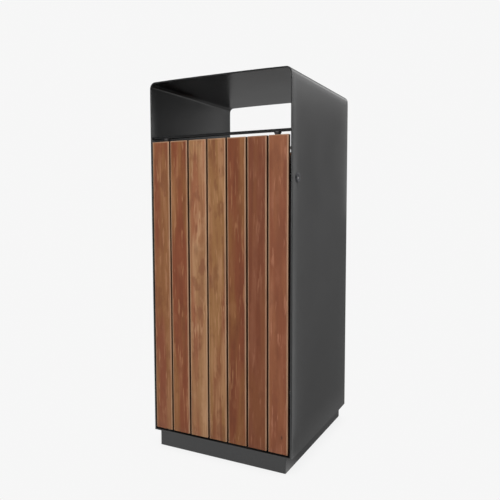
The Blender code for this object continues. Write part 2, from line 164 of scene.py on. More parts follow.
strip = maths(tree, "MULTIPLY", mapped(tree, to_right, 0.41, 0.46), mapped(tree, to_right, 0.56, 0.50))
sheen = maths(tree, "ADD", sheen, maths(tree, "MULTIPLY", strip, 1.10))
mirrored = node(tree, "Emission", {"Color": (1.0, 1.0, 1.0, 1.0), "Strength": sheen})
path = node(tree, "LightPath").outputs
unseen = node(tree, "MixShader", {0: path["Is Glossy Ray"], 1: bounce.outputs[0], 2: mirrored.outputs[0]})
both = node(tree, "MixShader", {0: path["Is Camera Ray"], 1: unseen.outputs[0], 2: lit.outputs[0]})
node(tree, "OutputMaterial", {0: both.outputs[0]})
floor_mesh.materials.append(paper)
floor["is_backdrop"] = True

soft_boxes = [
    # name, place, aimed at, width, height, watts
    ("box_above", (0.2, -0.4, 3.0), (0.0, 0.0, 0.9), 2.2, 2.2, 24.0),
    ("box_front", (0.45, -3.3, 1.6), (0.0, 0.0, 0.5), 1.4, 2.0, 84.0),
    ("box_right", (3.0, -0.5, 2.6), (0.2, 0.0, 0.7), 1.0, 1.0, 26.0),
    ("box_rear", (-2.6, 2.7, 2.3), (0.0, 0.0, 0.6), 1.8, 1.8, 60.0),
]
for name, place, aim, width, tall, watts in soft_boxes:
    light = bpy.data.lights.new(name, "AREA")
    light.shape = "RECTANGLE"
    light.size = width
    light.size_y = tall
    light.energy = watts
    lamp = bpy.data.objects.new(name, light)
    lamp.location = place
    lamp.rotation_euler = (Vector(aim) - Vector(place)).to_track_quat("-Z", "Y").to_euler()
    bpy.context.scene.collection.objects.link(lamp)


# Coated steel: 4 mm mild steel sheet, with 5 mm to 10 mm flat bar, powder coated dark grey after
# welding. The film has a fine orange peel, thins on edges and holds a little dust where it lies flat.
def shader_group(name, outputs, inputs=()):
    """A node group with named sockets: its tree, its input node and its output node."""
    group = bpy.data.node_groups.new(name, "ShaderNodeTree")
    for label, value in inputs:
        socket = group.interface.new_socket(label, in_out="INPUT", socket_type="NodeSocketFloat")
        socket.default_value = value
    for label in outputs:
        group.interface.new_socket(label, in_out="OUTPUT", socket_type="NodeSocketFloat")
    return group, group.nodes.new("NodeGroupInput"), group.nodes.new("NodeGroupOutput")


def noise(tree, vector, scale, detail=2.0, roughness=0.5):
    """Even noise from 0 to 1."""
    values = {"Vector": vector, "Scale": scale, "Detail": detail, "Roughness": roughness}
    return node(tree, "TexNoise", values).outputs["Fac"]


def stretched(tree, vector, scale, location=(0.0, 0.0, 0.0)):
    """Coordinates moved and scaled differently along each axis."""
    return node(tree, "Mapping", {"Vector": vector, "Location": location, "Scale": scale}).outputs[0]


def mixed(tree, factor, first, second, blend="MIX"):
    """Two colours mixed."""
    made = node(tree, "Mix", {0: factor, 6: first, 7: second}, data_type="RGBA", blend_type=blend)
    return made.outputs[2]


def new_material(name):
    """A material with one Principled shader: the material, its tree and the shader."""
    made = bpy.data.materials.new(name)
    made.use_nodes = True
    return made, made.node_tree, made.node_tree.nodes["Principled BSDF"]


def effect(tree, group, **values):
    """Place a node group in a material, with its own values."""
    made = tree.nodes.new("ShaderNodeGroup")
    made.node_tree = group
    for key, value in values.items():
        made.inputs[key.replace("_", " ").capitalize()].default_value = value
    return made.outputs


# Edge mask: 1 on outside corners, broken up as if rubbed.
edge_wear, given, result = shader_group("edge_wear", ["Mask"], [("Reach", 0.0015), ("Break up", 180.0)])
tree = edge_wear
rounded = node(tree, "Bevel", {"Radius": given.outputs["Reach"]}, samples=6).outputs[0]
true_normal = node(tree, "NewGeometry").outputs["Normal"]
turn = node(tree, "VectorMath", {0: rounded, 1: true_normal}, operation="DOT_PRODUCT").outputs["Value"]
corner = mapped(tree, maths(tree, "SUBTRACT", 1.0, turn), 0.02, 0.16)
place = node(tree, "TexCoord").outputs["Object"]
rubbed = node(tree, "TexNoise", {"Vector": place, "Scale": given.outputs["Break up"], "Detail": 4.0})
chipped = mapped(tree, rubbed.outputs["Fac"], 0.42, 0.62)
tree.links.new(maths(tree, "MULTIPLY", corner, chipped), result.inputs["Mask"])

# Settled dust: 1 on faces that look up, in soft patches.
settled_dust, given, result = shader_group("settled_dust", ["Mask"], [("Patch size", 14.0)])
tree = settled_dust
upward = node(tree, "SeparateXYZ", {0: node(tree, "NewGeometry").outputs["Normal"]}).outputs["Z"]
place = node(tree, "TexCoord").outputs["Object"]
patches = node(tree, "TexNoise", {"Vector": place, "Scale": given.outputs["Patch size"], "Detail": 5.0})
lying = mapped(tree, upward, 0.55, 0.98)
cover = mapped(tree, patches.outputs["Fac"], 0.30, 0.72)
tree.links.new(maths(tree, "MULTIPLY", lying, cover), result.inputs["Mask"])

# Powder film: broad tone, orange peel height and fine speckle.
powder_film, given, result = shader_group("powder_film", ["Tone", "Peel", "Speckle"],
                                          [("Peel size", 620.0)])
tree = powder_film
place = node(tree, "TexCoord").outputs["Object"]
tree.links.new(noise(tree, place, 5.5, 4.0, 0.55), result.inputs["Tone"])
peel = node(tree, "TexNoise", {"Vector": place, "Scale": given.outputs["Peel size"], "Detail": 2.0})
tree.links.new(peel.outputs["Fac"], result.inputs["Peel"])
tree.links.new(noise(tree, place, 2600.0, 1.0), result.inputs["Speckle"])

coated_steel, tree, shader = new_material("coated_steel")
film = effect(tree, powder_film, peel_size=620.0)
worn = effect(tree, edge_wear, reach=0.0016, break_up=150.0)["Mask"]
dusty = effect(tree, settled_dust, patch_size=16.0)["Mask"]
DEEP_GREY = (0.0105, 0.0108, 0.0112, 1.0)
LIFTED_GREY = (0.0140, 0.0144, 0.0148, 1.0)
grey = mixed(tree, mapped(tree, film["Tone"], 0.3, 0.7), DEEP_GREY, LIFTED_GREY)
grey = mixed(tree, mapped(tree, film["Speckle"], 0.45, 0.75, 0.0, 0.30), grey, (0.024, 0.024, 0.024, 1.0))
grey = mixed(tree, maths(tree, "MULTIPLY", worn, 0.08), grey, (0.09, 0.09, 0.09, 1.0))
grey = mixed(tree, maths(tree, "MULTIPLY", dusty, 0.06), grey, (0.30, 0.28, 0.25, 1.0))
tree.links.new(grey, shader.inputs["Base Color"])
gloss = mapped(tree, film["Tone"], 0.25, 0.75, 0.20, 0.24)
gloss = maths(tree, "ADD", gloss, maths(tree, "MULTIPLY", dusty, 0.22))
tree.links.new(gloss, shader.inputs["Roughness"])
shader.inputs["Specular IOR Level"].default_value = 0.50
relief = node(tree, "Bump", {"Height": film["Peel"], "Strength": 0.10, "Distance": 0.0004})
tree.links.new(relief.outputs[0], shader.inputs["Normal"])


# Casing: one 4 mm sheet pressed into two walls and a top, with two 18 mm folds that start gently.
# Laser cut, so its cut edges are square and only just eased. The walls bow in by a hair at both ends.
def finished(name, bm, material, body, stands_for=(), sharp=35.0):
    """Make a bmesh a piece: shaded smooth up to an angle, with a finish, riding on a body."""
    mesh = bpy.data.meshes.new(name)
    bm.to_mesh(mesh)
    bm.free()
    mesh.shade_smooth()
    mesh.set_sharp_from_angle(angle=math.radians(sharp))
    mesh.materials.append(material)
    piece = bpy.data.objects.new(name, mesh)
    bpy.context.scene.collection.objects.link(piece)
    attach(piece, body)
    if stands_for:
        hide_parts(*stands_for)
    return piece


def moved_vertices(grown):
    """The vertices in what an extrude or a spin returns."""
    return [item for item in grown if isinstance(item, bmesh.types.BMVert)]


def edges_of(grown):
    """The edges in what an extrude or a spin returns."""
    return [item for item in grown if isinstance(item, bmesh.types.BMEdge)]


def bored(bm, centre, radius, axis="Z", depth=0.05, segments=40):
    """Cut a round hole through a closed bmesh: the same shape comes back as a new bmesh."""
    drill = bmesh.new()
    bmesh.ops.create_cone(drill, cap_ends=True, segments=segments, radius1=radius, radius2=radius,
                          depth=depth)
    if axis == "X":
        bmesh.ops.rotate(drill, verts=drill.verts, matrix=Matrix.Rotation(math.radians(90), 3, "Y"))
    bmesh.ops.translate(drill, verts=drill.verts, vec=centre)
    made = []
    for label, source in (("blank", bm), ("drill", drill)):
        mesh = bpy.data.meshes.new(label)
        source.to_mesh(mesh)
        source.free()
        made.append(bpy.data.objects.new(label, mesh))
        bpy.context.scene.collection.objects.link(made[-1])
    boolean = made[0].modifiers.new("bore", "BOOLEAN")
    boolean.operation = "DIFFERENCE"
    boolean.solver = "EXACT"
    boolean.object = made[1]
    shaped = bmesh.new()
    shaped.from_object(made[0], bpy.context.evaluated_depsgraph_get())
    for spare in made:
        bpy.data.objects.remove(spare)
    return shaped


def run_on(bm, edges, travel, cuts=1):
    """Carry a row of edges on in equal steps, and return the last row."""
    for _ in range(cuts):
        grown = bmesh.ops.extrude_edge_only(bm, edges=edges)["geom"]
        bmesh.ops.translate(bm, verts=moved_vertices(grown), vec=Vector(travel) / cuts)
        edges = [item for item in edges_of(grown) if all(v in moved_vertices(grown) for v in item.verts)]
    return edges


def sliced(bm, axis, places):
    """Cut through every face at each place along an axis."""
    facing = Vector([1.0 if index == axis else 0.0 for index in range(3)])
    for place in places:
        everything = bm.verts[:] + bm.edges[:] + bm.faces[:]
        bmesh.ops.bisect_plane(bm, geom=everything, plane_co=facing * place, plane_no=facing)


def eased(bm, edges, offset, segments):
    """Round a set of edges."""
    bmesh.ops.bevel(bm, geom=edges, offset=offset, offset_type="OFFSET", segments=segments, profile=0.5,
                    affect="EDGES", material=-1)


SHEET = 0.004
FOLD = 0.018
FOLD_STEPS = 14
LEAD_IN = 0.017
LEAD_ANGLE = 5.0
CAMBER = 0.0022
CUT_EASE = 0.0007
LOCK_HOLE = 0.0100
half_width = casing_high.x
foot = casing_low.z
bm = bmesh.new()
front_point = bm.verts.new((half_width, casing_low.y, foot))
rear_point = bm.verts.new((half_width, casing_high.y, foot))
edge = bm.edges.new((front_point, rear_point))
straight_cuts = 12
lead_set = LEAD_IN * math.tan(math.radians(LEAD_ANGLE))
fold_x = half_width - lead_set - FOLD
fold_z = casing_high.z - FOLD
degrees = [(90.0 - LEAD_ANGLE) * index / FOLD_STEPS + LEAD_ANGLE for index in range(FOLD_STEPS + 1)]
turns = [math.radians(turn) for turn in degrees]
arc = [(fold_x + FOLD * math.cos(turn), fold_z + FOLD * math.sin(turn)) for turn in turns]
last = run_on(bm, [edge], (0.0, 0.0, arc[0][1] - LEAD_IN - foot), straight_cuts)
outline = [(half_width, arc[0][1] - LEAD_IN)] + arc
outline += [(fold_x * (4 - index) / 4, casing_high.z) for index in range(1, 8)]
outline += [(-x, z) for x, z in reversed(arc)] + [(-half_width, arc[0][1] - LEAD_IN)]
for (from_x, from_z), (to_x, to_z) in zip(outline, outline[1:]):
    last = run_on(bm, last, (to_x - from_x, 0.0, to_z - from_z))
run_on(bm, last, (0.0, 0.0, foot - outline[-1][1]), straight_cuts)
bmesh.ops.remove_doubles(bm, verts=bm.verts, dist=0.00005)
depth = casing_high.y - casing_low.y
from_ends = [0.003, 0.007, 0.012, 0.018, 0.026, 0.036, 0.050, 0.070, 0.110, 0.160]
sliced(bm, 1, [casing_low.y + d for d in from_ends] + [casing_high.y - d for d in from_ends])
BOWS = {-1: (0.040, 0.0012, 3), 1: (0.070, 0.0012, 2)}      # front and rear: reach, depth, power
for vertex in bm.verts:
    reach, bow_depth, power = BOWS[-1 if vertex.co.y < 0 else 1]
    from_edge = depth / 2 - abs(vertex.co.y)
    if from_edge < reach and vertex.co.z < casing_high.z - FOLD:
        bow = bow_depth * (1.0 - from_edge / reach) ** power
        vertex.co.x -= math.copysign(bow, vertex.co.x)
    if vertex.co.z > casing_high.z - FOLD:
        vertex.co.z -= CAMBER * (abs(vertex.co.x) / half_width) ** 3
bmesh.ops.recalc_face_normals(bm, faces=bm.faces)
if sum(face.normal.z for face in bm.faces if face.calc_center_median().z > casing_high.z - 0.001) < 0:
    bmesh.ops.reverse_faces(bm, faces=bm.faces)
bmesh.ops.solidify(bm, geom=bm.faces, thickness=SHEET)
cut_edges = [e for e in bm.edges if len(e.link_faces) == 2 and e.calc_face_angle() > math.radians(60)]
eased(bm, cut_edges, CUT_EASE, 2)
lock_low, lock_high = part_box("lock_body")
lock_centre = (lock_low + lock_high) / 2
bm = bored(bm, (half_width - SHEET / 2, lock_centre.y, lock_centre.z), LOCK_HOLE, "X")
finished("casing_sheet", bm, coated_steel, "casing", ["casing_shell"])


# Plain flats, strips and lugs: sawn or cropped bar and plate with eased edges, welded in place
# and coated with the casing. Their CAD solids have the right shape and keep it.
def coat_node(material, slot, *names):
    """Give CAD nodes that keep their shape a finish."""
    for name in names:
        nodes[name].data.materials.clear()
        nodes[name].data.materials.append(material)


for panel in ("door", "rear"):
    for part in ("upright_left", "upright_right", "rail_top", "rail_middle", "rail_bottom"):
        coat_node(coated_steel, "coated_steel", f"{panel}_{part}")
coat_node(coated_steel, "coated_steel", "base_plate", "plinth_front", "plinth_rear", "plinth_left",
          "plinth_right", "anchor_flange_left", "anchor_flange_right", "front_bar", "rear_bar",
          "liner_runner_left", "liner_runner_right", "lock_keeper")


# Welds: short fillet runs from a MIG torch, coated over with the rest of the casing. Each is a
# rippled bead in an inside corner, with its ends run down to nothing.
BEAD_RADIUS = 0.0026
BEAD_RIPPLE = 0.0022
BEAD_END = 0.35


def drawn_out(bm, face):
    """Extrude a face: the face it becomes, and that face's vertices."""
    grown = bmesh.ops.extrude_face_region(bm, geom=face)["geom"]
    bmesh.ops.delete(bm, geom=face, context="FACES_ONLY")
    return [item for item in grown if isinstance(item, bmesh.types.BMFace)], moved_vertices(grown)


def add_bead(bm, start, end, radius=BEAD_RADIUS):
    """Lay one rippled bead between two points."""
    start, end = Vector(start), Vector(end)
    along = end - start
    steps = max(4, round(along.length / BEAD_RIPPLE) * 2)
    ring = bmesh.ops.create_circle(bm, cap_ends=True, segments=8, radius=radius * BEAD_END)["verts"]
    turn = along.to_track_quat("Z", "Y").to_matrix()
    bmesh.ops.rotate(bm, verts=ring, matrix=turn)
    bmesh.ops.translate(bm, verts=ring, vec=start)
    cap = [face for face in ring[0].link_faces if len(face.verts) == 8]
    thickness = BEAD_END
    for step in range(1, steps + 1):
        cap, verts = drawn_out(bm, cap)
        share = step / steps
        full = min(1.0, 4.0 * min(share, 1.0 - share) + BEAD_END) * (1.0 + 0.10 * (-1) ** step)
        bmesh.ops.translate(bm, verts=verts, vec=along / steps)
        centre = start + along * share
        bmesh.ops.scale(bm, verts=verts, vec=(full / thickness,) * 3, space=Matrix.Translation(-centre))
        thickness = full


def add_bead_row(bm, start, end, count, length):
    """Stitch a long corner with short beads, evenly spaced and one at each end."""
    start, end = Vector(start), Vector(end)
    run = (end - start).normalized() * length
    for index in range(count):
        share = index / (count - 1) if count > 1 else 0.5
        first = start + (end - start - run) * share
        add_bead(bm, first, first + run)


bm = bmesh.new()
inside_x = half_width - SHEET
for side, runner in ((-1, "liner_runner_left"), (1, "liner_runner_right")):
    low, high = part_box(runner)
    add_bead_row(bm, (side * inside_x, low.y, low.z), (side * inside_x, high.y, low.z), 4, 0.030)
for bar in ("front_bar", "rear_bar"):
    low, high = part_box(bar)
    for wall_x in (-inside_x, inside_x):
        add_bead(bm, (wall_x, low.y + 0.002, low.z), (wall_x, high.y - 0.002, low.z), 0.0022)
low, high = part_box("base_plate")
for wall_x in (-inside_x, inside_x):
    add_bead_row(bm, (wall_x, low.y + 0.03, high.z), (wall_x, high.y - 0.03, high.z), 5, 0.035)
PLINTH_SHEET = 0.004
low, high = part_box("plinth_front")
rear_low, rear_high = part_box("plinth_rear")
for side, flange in ((-1, "anchor_flange_left"), (1, "anchor_flange_right")):
    corner_x = side * (high.x - PLINTH_SHEET)
    for end_y in (high.y, rear_low.y):
        add_bead(bm, (corner_x, end_y, 0.006), (corner_x, end_y, high.z - 0.004))
    flange_low, flange_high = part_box(flange)
    flange_x = flange_low.x if side < 0 else flange_high.x
    first_end = (flange_x, flange_low.y + 0.01, flange_high.z)
    last_end = (flange_x, flange_high.y - 0.01, flange_high.z)
    add_bead_row(bm, first_end, last_end, 4, 0.035)
bmesh.ops.recalc_face_normals(bm, faces=bm.faces)
finished("weld_beads", bm, coated_steel, "casing")

bm = bmesh.new()
for rail in ("door_rail_top", "door_rail_middle", "door_rail_bottom"):
    low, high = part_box(rail)
    for corner_x in (low.x, high.x):
        add_bead(bm, (corner_x, high.y, low.z + 0.003), (corner_x, high.y, high.z - 0.003))
low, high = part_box("lock_keeper")
for end_z in (low.z, high.z):
    add_bead(bm, (low.x + 0.001, low.y, end_z), (low.x + 0.014, low.y, end_z), 0.0016)
bmesh.ops.recalc_face_normals(bm, faces=bm.faces)
finished("door_weld_beads", bm, coated_steel, "door")

bm = bmesh.new()
for rail in ("rear_rail_top", "rear_rail_middle", "rear_rail_bottom"):
    low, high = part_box(rail)
    for corner_x in (low.x, high.x):
        add_bead(bm, (corner_x, low.y, low.z + 0.003), (corner_x, low.y, high.z - 0.003))
bmesh.ops.recalc_face_normals(bm, faces=bm.faces)
finished("rear_weld_beads", bm, coated_steel, "casing")


# Boards: planed red-brown hardwood with rounded long edges and eased ends, oiled. Each was cut from its own
# plank, so its colour, figure and knots are its own. A painted highlight lightens each board's rounded long
# edges and top end, and painted shade darkens its side faces where they sit in the gaps between boards.
ROUNDING = 0.003
END_EASE = 0.0009
HIGHLIGHT_REACH = 0.0056

board_grain, given, result = shader_group(
    "board_grain", ["Hue", "Streak", "Fleck", "Fibre", "Pore", "Blotch", "EdgeHighlight", "GapShade", "Knot", "Relief"],
    [("Shift", 0.0), ("Centre", 0.0), ("Half width", 0.0293), ("Face", 0.0), ("Lean", 0.0),
     ("Blotch size", 20.0), ("Knot across", 0.0), ("Knot height", 0.0), ("Knot size", 0.0), ("Top", 1.0)])
tree = board_grain
place = node(tree, "TexCoord").outputs["Object"]
axes = node(tree, "SeparateXYZ", {0: place}).outputs
across = maths(tree, "SUBTRACT", axes["X"], given.outputs["Centre"])
knot_x = maths(tree, "SUBTRACT", across, given.outputs["Knot across"])
knot_z = maths(tree, "MULTIPLY", maths(tree, "SUBTRACT", axes["Z"], given.outputs["Knot height"]), 0.45)
knot_size = maths(tree, "ADD", given.outputs["Knot size"], 0.00001)
share_of_knot = maths(tree, "DIVIDE", flat_length(tree, knot_x, knot_z), knot_size)
has_knot = mapped(tree, given.outputs["Knot size"], 0.0005, 0.001)
knot = maths(tree, "MULTIPLY", mapped(tree, share_of_knot, 1.3, 0.35), has_knot)
swirl = maths(tree, "MULTIPLY", mapped(tree, share_of_knot, 3.6, 0.9), has_knot)
wander_place = stretched(tree, place, (9.0, 9.0, 1.6))
wander = maths(tree, "SUBTRACT", noise(tree, wander_place, 1.0, 2.0), 0.5)
leaning = maths(tree, "MULTIPLY", axes["Z"], given.outputs["Lean"])
drift = maths(tree, "ADD", maths(tree, "MULTIPLY", wander, 0.012), leaning)
drift = maths(tree, "ADD", drift, maths(tree, "MULTIPLY", swirl, 0.006))
grain_x = maths(tree, "ADD", across, drift)
grain = node(tree, "CombineXYZ", {0: grain_x, 1: axes["Y"], 2: axes["Z"]}).outputs[0]
offset = node(tree, "CombineXYZ", {axis: given.outputs["Shift"] for axis in range(3)}).outputs[0]
grain = node(tree, "VectorMath", {0: grain, 1: offset}, operation="ADD").outputs[0]
hue = noise(tree, stretched(tree, grain, (30.0, 20.0, 3.2)), 1.0, 1.5, 0.5)
streak = noise(tree, stretched(tree, grain, (62.0, 40.0, 5.0)), 1.0, 2.0, 0.5)
fleck = noise(tree, stretched(tree, grain, (170.0, 90.0, 15.0)), 1.0, 2.0, 0.5)
fibre = noise(tree, stretched(tree, grain, (700.0, 420.0, 13.0)), 1.0, 3.0, 0.65)
pore = noise(tree, stretched(tree, grain, (1500.0, 900.0, 70.0)), 1.0, 1.0)
blotch_place = node(tree, "VectorMath", {0: place, 1: offset}, operation="ADD").outputs[0]
blotch_noise = node(tree, "TexNoise", {"Vector": stretched(tree, blotch_place, (1.7, 1.0, 0.8)),
                                       "Scale": given.outputs["Blotch size"], "Detail": 3.0})
side_gap = maths(tree, "SUBTRACT", given.outputs["Half width"], maths(tree, "ABSOLUTE", across))
# Painted highlight: the colour is lightened within about 6 mm of the rounded long edges and 4 mm of the top
# end, where light catches them, broken up by noise.
side_highlight = mapped(tree, side_gap, HIGHLIGHT_REACH, 0.0014)
top_highlight = mapped(tree, maths(tree, "SUBTRACT", given.outputs["Top"], axes["Z"]), 0.0040, 0.0010)
edge = maths(tree, "MAXIMUM", side_highlight, top_highlight)
# Painted shade: a side face more than about 2 mm behind the front face is darkened as if in the shadow of
# the gap between boards, and the painted highlight is taken off there.
sunk = maths(tree, "ABSOLUTE", maths(tree, "SUBTRACT", axes["Y"], given.outputs["Face"]))
gap_shade = maths(tree, "MULTIPLY", mapped(tree, sunk, 0.0014, 0.0036), mapped(tree, side_gap, 0.0014, 0.0003))
edge = maths(tree, "MULTIPLY", edge, maths(tree, "SUBTRACT", 1.0, gap_shade))
edge_noise = noise(tree, stretched(tree, place, (30.0, 30.0, 7.0)), 1.0, 3.0)
highlight_break = mapped(tree, edge_noise, 0.25, 0.60, 0.45, 1.0)
edge = maths(tree, "MULTIPLY", edge, highlight_break)
pore_mask = mapped(tree, pore, 0.34, 0.24)
sunk_pores = maths(tree, "MULTIPLY", pore_mask, 0.5)
relief = maths(tree, "SUBTRACT", maths(tree, "MULTIPLY", fibre, 0.7), sunk_pores)
for label, value in (("Hue", hue), ("Streak", streak), ("Fleck", fleck), ("Fibre", fibre),
                     ("Pore", pore_mask), ("Blotch", blotch_noise.outputs["Fac"]), ("EdgeHighlight", edge),
                     ("GapShade", gap_shade), ("Knot", knot), ("Relief", relief)):
    tree.links.new(value, result.inputs[label])


def oiled_timber(name, box, face, heart, sap, sap_share, streaks, blotches, shift, lean, knot):
    """One board's own timber: its heart and sap colours, how much sap shows, and its figure."""
    low, high = box
    made, tree, shader = new_material(name)
    board = effect(tree, board_grain, shift=shift, centre=(low.x + high.x) / 2,
                   half_width=(high.x - low.x) / 2, face=face, lean=lean, blotch_size=20.0,
                   knot_across=knot[0], knot_height=knot[1], knot_size=knot[2], top=high.z)
    dark = (heart[0] * 0.70, heart[1] * 0.66, heart[2] * 0.66, 1.0)
    pale = (min(1.0, sap[0] * 1.30 + 0.04), sap[1] * 1.42 + 0.025, sap[2] * 1.60 + 0.022, 1.0)
    heart, sap = heart + (1.0,), sap + (1.0,)
    sap_from = 0.52 - sap_share * 0.22
    sap_full = 0.72 - sap_share * 0.22
    colour = mixed(tree, mapped(tree, board["Hue"], sap_from, sap_full), heart, sap)
    colour = mixed(tree, mapped(tree, board["Streak"], 0.50, 0.72, 0.0, streaks), colour, pale)
    colour = mixed(tree, mapped(tree, board["Streak"], 0.50, 0.28, 0.0, streaks), colour, dark)
    colour = mixed(tree, mapped(tree, board["Blotch"], 0.46, 0.34, 0.0, blotches), colour, dark)
    colour = mixed(tree, mapped(tree, board["Blotch"], 0.55, 0.72, 0.0, blotches * 0.7), colour, pale)
    colour = mixed(tree, mapped(tree, board["Fleck"], 0.60, 0.68, 0.0, 0.70), colour, pale)
    colour = mixed(tree, mapped(tree, board["Fibre"], 0.62, 0.30, 0.0, 0.16), colour, dark)
    # Pore and knot colours, then the painted highlight on the rounded edges and top end, then the painted
    # shade on the side faces in the gaps between boards.
    for mask, share, tint in (("Pore", 0.45, (0.045, 0.022, 0.012, 1.0)),
                              ("Knot", knot[3], (0.060, 0.026, 0.014, 1.0)),
                              ("EdgeHighlight", 0.85, (0.400, 0.245, 0.150, 1.0)),
                              ("GapShade", 0.90, (0.028, 0.015, 0.008, 1.0))):
        colour = mixed(tree, maths(tree, "MULTIPLY", board[mask], share), colour, tint)
    tree.links.new(colour, shader.inputs["Base Color"])
    oil = mapped(tree, board["Fibre"], 0.30, 0.70, 0.62, 0.50)
    oil = maths(tree, "ADD", oil, maths(tree, "MULTIPLY", board["EdgeHighlight"], 0.12))
    oil = maths(tree, "ADD", oil, maths(tree, "MULTIPLY", board["GapShade"], 0.40))
    tree.links.new(oil, shader.inputs["Roughness"])
    shader.inputs["Specular IOR Level"].default_value = 0.22
    height = node(tree, "Bump", {"Height": board["Relief"], "Strength": 0.35, "Distance": 0.0006})
    tree.links.new(height.outputs[0], shader.inputs["Normal"])
    return made


def board_blank(box, cup, crook):
    """A planed board to a node's box: rounded long edges, eased ends, and a little cup and crook."""
    low, high = box
    bm = bmesh.new()
    bmesh.ops.create_cube(bm, size=1.0)
    bmesh.ops.scale(bm, verts=bm.verts, vec=high - low)
    bmesh.ops.translate(bm, verts=bm.verts, vec=(low + high) / 2)
    long_edges = [e for e in bm.edges if abs(e.verts[0].co.z - e.verts[1].co.z) > 0.1]
    eased(bm, long_edges, ROUNDING, 5)
    end_edges = [e for e in bm.edges if e.calc_face_angle() > math.radians(60)]
    eased(bm, end_edges, END_EASE, 2)
    sliced(bm, 2, [low.z + (high.z - low.z) * index / 24 for index in range(1, 24)])
    sliced(bm, 0, [low.x + (high.x - low.x) * index / 6 for index in range(1, 6)])
    middle = (low + high) / 2
    for vertex in bm.verts:
        across = (vertex.co.x - middle.x) / (high.x - middle.x)
        along = (vertex.co.z - low.z) / (high.z - low.z)
        vertex.co.y += cup * (across ** 2 - 0.5) * 0.5
        vertex.co.x += crook * math.sin(math.pi * along)
    return bm


NO_KNOT = (0.0, 0.0, 0.0, 0.0)          # across, height, size, darkness
FAINT_KNOT = (-0.006, 0.610, 0.009, 0.20)
PIN_KNOT = (0.012, 0.105, 0.003, 0.70)
REAR_SHIFT = 47.0
CUP = 0.0005
CROOK = 0.00025
boards = [
    # heart, sap, sap share, streaks, blotches, shift, lean, knot
    ((0.200, 0.060, 0.028), (0.228, 0.096, 0.036), 0.55, 0.50, 0.40, 3.1, 0.012, NO_KNOT),
    ((0.195, 0.055, 0.023), (0.230, 0.095, 0.033), 0.50, 0.55, 0.35, 7.7, -0.010, NO_KNOT),
    ((0.270, 0.102, 0.048), (0.305, 0.157, 0.069), 0.75, 0.50, 0.65, 11.9, 0.006, FAINT_KNOT),
    ((0.202, 0.067, 0.028), (0.251, 0.118, 0.043), 0.75, 0.75, 0.45, 16.3, 0.018, NO_KNOT),
    ((0.169, 0.047, 0.018), (0.197, 0.077, 0.024), 0.45, 0.50, 0.35, 21.4, -0.014, NO_KNOT),
    ((0.153, 0.044, 0.018), (0.168, 0.055, 0.020), 0.30, 0.35, 0.25, 26.2, 0.004, NO_KNOT),
    ((0.201, 0.063, 0.028), (0.226, 0.080, 0.034), 0.40, 0.40, 0.30, 31.8, 0.010, PIN_KNOT),
]
rows = (("door_slat", "door", -1, 0.0), ("rear_slat", "casing", 1, REAR_SHIFT))
for row, body, outward, row_shift in rows:
    for index, board in enumerate(boards[::-outward], 1):
        heart, sap, sap_share, streaks, blotches, shift, lean, knot = board
        name = f"{row}_{index}"
        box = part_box(name)
        face = box[0].y if outward < 0 else box[1].y
        timber = oiled_timber(f"timber_{name}", box, face, heart, sap, sap_share, streaks, blotches,
                              shift + row_shift, lean, knot)
        blank = board_blank(box, CUP * outward * (-1) ** index, CROOK * math.sin(2.4 * index))
        finished(f"{row}_board_{index}", blank, timber, body, [name], sharp=50.0)


# Board screws: M5 stainless pan heads with a hexagon socket, driven from inside through the rails
# and uprights into the backs of the boards, three to a board.
brushed_metal, given, result = shader_group("brushed_metal", ["Scratch", "Stain"],
                                            [("Scratch size", 900.0)])
tree = brushed_metal
place = node(tree, "TexCoord").outputs["Object"]
scratch = node(tree, "TexNoise", {"Vector": stretched(tree, place, (1.0, 1.0, 0.12)),
                                  "Scale": given.outputs["Scratch size"], "Detail": 3.0})
tree.links.new(scratch.outputs["Fac"], result.inputs["Scratch"])
tree.links.new(noise(tree, place, 60.0, 4.0, 0.6), result.inputs["Stain"])

stainless_steel, tree, shader = new_material("stainless_steel")
brush = effect(tree, brushed_metal, scratch_size=1400.0)
worn = effect(tree, edge_wear, reach=0.0006, break_up=500.0)["Mask"]
stained = mapped(tree, brush["Stain"], 0.35, 0.70)
steel = mixed(tree, stained, (0.56, 0.55, 0.53, 1.0), (0.43, 0.42, 0.40, 1.0))
steel = mixed(tree, worn, steel, (0.72, 0.72, 0.71, 1.0))
tree.links.new(steel, shader.inputs["Base Color"])
tree.links.new(mapped(tree, brush["Scratch"], 0.30, 0.70, 0.24, 0.40), shader.inputs["Roughness"])
shader.inputs["Metallic"].default_value = 1.0
scoring = node(tree, "Bump", {"Height": brush["Scratch"], "Strength": 0.15, "Distance": 0.0002})
tree.links.new(scoring.outputs[0], shader.inputs["Normal"])


def add_socket_head(bm, place, outward, radius, rise, socket):
    """Add one domed head with a hexagon socket, standing on a face and pointing out from it."""
    made = bmesh.ops.create_circle(bm, cap_ends=True, segments=18, radius=radius)["verts"]
    top = [face for face in made[0].link_faces if len(face.verts) == 18]
    everything = list(made)
    for share, up in ((1.0, 0.45), (0.93, 0.25), (0.78, 0.18), (0.55, 0.10)):
        top, verts = drawn_out(bm, top)
        narrowing = radius * share / verts[0].co.xy.length
        bmesh.ops.scale(bm, verts=verts, vec=(narrowing, narrowing, 1.0))
        bmesh.ops.translate(bm, verts=verts, vec=(0.0, 0.0, rise * up))
        everything += verts
    for drop in (0.0, rise * 0.7):
        top, verts = drawn_out(bm, top)
        for vertex in verts:
            angle = math.atan2(vertex.co.y, vertex.co.x)
            flat = math.cos(math.radians(30)) / math.cos((angle % math.radians(60)) - math.radians(30))
            vertex.co.xy = vertex.co.xy.normalized() * socket * flat
        bmesh.ops.translate(bm, verts=verts, vec=(0.0, 0.0, -drop))
        everything += verts
    bmesh.ops.rotate(bm, verts=everything, matrix=Vector(outward).to_track_quat("Z", "Y").to_matrix())
    bmesh.ops.translate(bm, verts=everything, vec=place)


